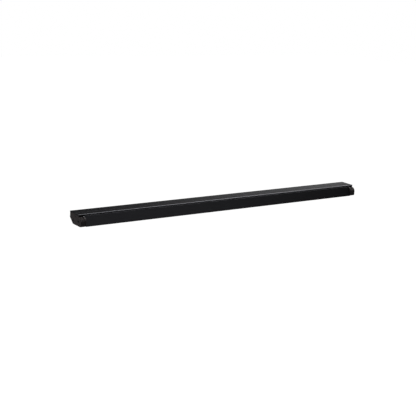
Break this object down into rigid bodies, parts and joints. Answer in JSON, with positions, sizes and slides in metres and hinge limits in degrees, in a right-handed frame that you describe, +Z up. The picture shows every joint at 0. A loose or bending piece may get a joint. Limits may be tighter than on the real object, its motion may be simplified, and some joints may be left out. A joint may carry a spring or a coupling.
{
  "type": "vanity light bar",
  "caption": "Slim black wall-mounted vanity light bar: extruded housing on a wall rail, with a lamp head that tilts between rounded end cheeks and shines down through an opal diffuser.",
  "frame": {"origin": "middle of the wall rail's back face, on the wall plane", "axes": "+X along the bar to the right as seen from the front, +Y into the wall, +Z up"},
  "size_m": [0.9, 0.0548, 0.029],
  "materials": {
    "black_anodised_aluminium": "satin black anodised",
    "black_coated_steel": "matt black powder coat",
    "charcoal_abs": "fine moulded texture, charcoal",
    "black_oxide_steel": "black oxide",
    "zinc_plated_steel": "bright zinc",
    "nylon": "natural nylon",
    "rubber": "matt black",
    "silicone_pad": "grey thermal pad",
    "white_solder_mask": "white solder mask",
    "white_reflector": "white reflector sheet",
    "opal_acrylic": "opal, satin",
    "white_polycarbonate": "white, moulded",
    "green_circuit_board": "green solder mask",
    "polyamide_terminal": "natural polyamide",
    "brown_pvc": "brown insulation",
    "blue_pvc": "blue insulation",
    "green_yellow_pvc": "green and yellow insulation",
    "white_pvc": "white insulation"
  },
  "bodies": {
    "housing": {"wall_rail": "black_coated_steel", "rear_channel": "black_anodised_aluminium", "top_cover": "black_anodised_aluminium", "end_cheek_left": "charcoal_abs", "cheek_screw_left_upper": "black_oxide_steel", "cheek_screw_left_lower": "black_oxide_steel", "lock_screw_left": "zinc_plated_steel", "pivot_pin_left": "black_oxide_steel", "friction_washer_left": "nylon", "spring_washer_left": "zinc_plated_steel", "pivot_nut_left": "zinc_plated_steel", "end_cheek_right": "charcoal_abs", "cheek_screw_right_upper": "black_oxide_steel", "cheek_screw_right_lower": "black_oxide_steel", "lock_screw_right": "zinc_plated_steel", "pivot_pin_right": "black_oxide_steel", "friction_washer_right": "nylon", "spring_washer_right": "zinc_plated_steel", "pivot_nut_right": "zinc_plated_steel", "gear_tray": "zinc_plated_steel", "driver_case": "white_polycarbonate", "driver_board": "green_circuit_board", "driver_lid": "white_polycarbonate", "terminal_block": "polyamide_terminal", "terminal_screw_1": "zinc_plated_steel", "terminal_screw_2": "zinc_plated_steel", "terminal_screw_3": "zinc_plated_steel", "cable_grommet": "rubber", "cord_clamp": "nylon", "clamp_screw_front": "zinc_plated_steel", "clamp_screw_rear": "zinc_plated_steel", "earth_screw": "zinc_plated_steel", "live_lead": "brown_pvc", "neutral_lead": "blue_pvc", "earth_lead": "green_yellow_pvc", "output_lead": "white_pvc"},
    "lamp_head": {"head_channel": "black_anodised_aluminium", "thermal_pad": "silicone_pad", "led_board": "white_solder_mask", "board_connector": "polyamide_terminal", "board_screw_left": "zinc_plated_steel", "board_screw_middle": "zinc_plated_steel", "board_screw_right": "zinc_plated_steel", "reflector_front": "white_reflector", "reflector_rear": "white_reflector", "diffuser": "opal_acrylic", "head_lead": "white_pvc", "head_cap_left": "charcoal_abs", "pivot_bush_left": "nylon", "cap_screw_left_front": "zinc_plated_steel", "cap_screw_left_rear": "zinc_plated_steel", "head_cap_right": "charcoal_abs", "pivot_bush_right": "nylon", "cap_screw_right_front": "zinc_plated_steel", "cap_screw_right_rear": "zinc_plated_steel"}
  },
  "joints": [
    {"name": "head_tilt", "type": "hinge", "parent": "housing", "child": "lamp_head", "pos_m": [0, -0.0435, -0.0099], "axis": [-1, 0, 0], "range_deg": [0, 40]}
  ]
}
